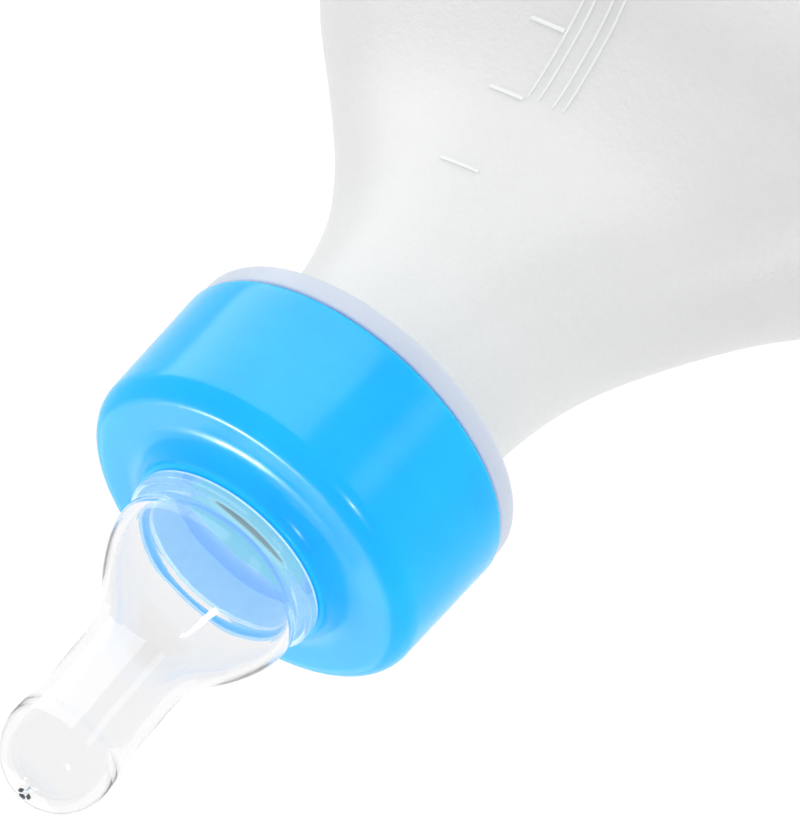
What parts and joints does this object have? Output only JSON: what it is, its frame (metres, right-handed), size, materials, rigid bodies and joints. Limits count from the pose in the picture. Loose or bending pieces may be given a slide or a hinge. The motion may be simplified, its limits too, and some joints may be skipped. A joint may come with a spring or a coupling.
{
  "type": "calf feeding bottle",
  "caption": "Hand-held feeding bottle for calves: oval translucent bottle with raised graduations, blue screw cap and clear soft teat with a ball tip.",
  "frame": {"origin": "centre of the bottle's footprint, on the surface that the foot ring stands on", "axes": "+Z along the bottle's axis, from the base to the teat; -Y is the front panel with the graduations; +X along the wide axis of the body"},
  "size_m": [0.1367, 0.0889, 0.3651],
  "materials": {
    "bottle_plastic": "satin",
    "cap_plastic": "gloss",
    "teat_silicone": "gloss"
  },
  "bodies": {
    "bottle": {"bottle": "bottle_plastic"},
    "teat": {"teat": "teat_silicone"},
    "cap": {"screw_cap": "cap_plastic"}
  },
  "joints": [
    {"name": "teat_lift", "type": "slide", "parent": "bottle", "child": "teat", "axis": [0, 0, 1], "range_m": [0, 0.0125]},
    {"name": "cap_turn", "type": "hinge", "parent": "teat", "child": "cap", "pos_m": [0, 0, 0.281], "axis": [0, 0, 1], "range_deg": [0, 900]}
  ],
  "couplings": [
    {"joint": "teat_lift", "follows": "cap_turn", "m_per_rad": 0.00079577}
  ]
}
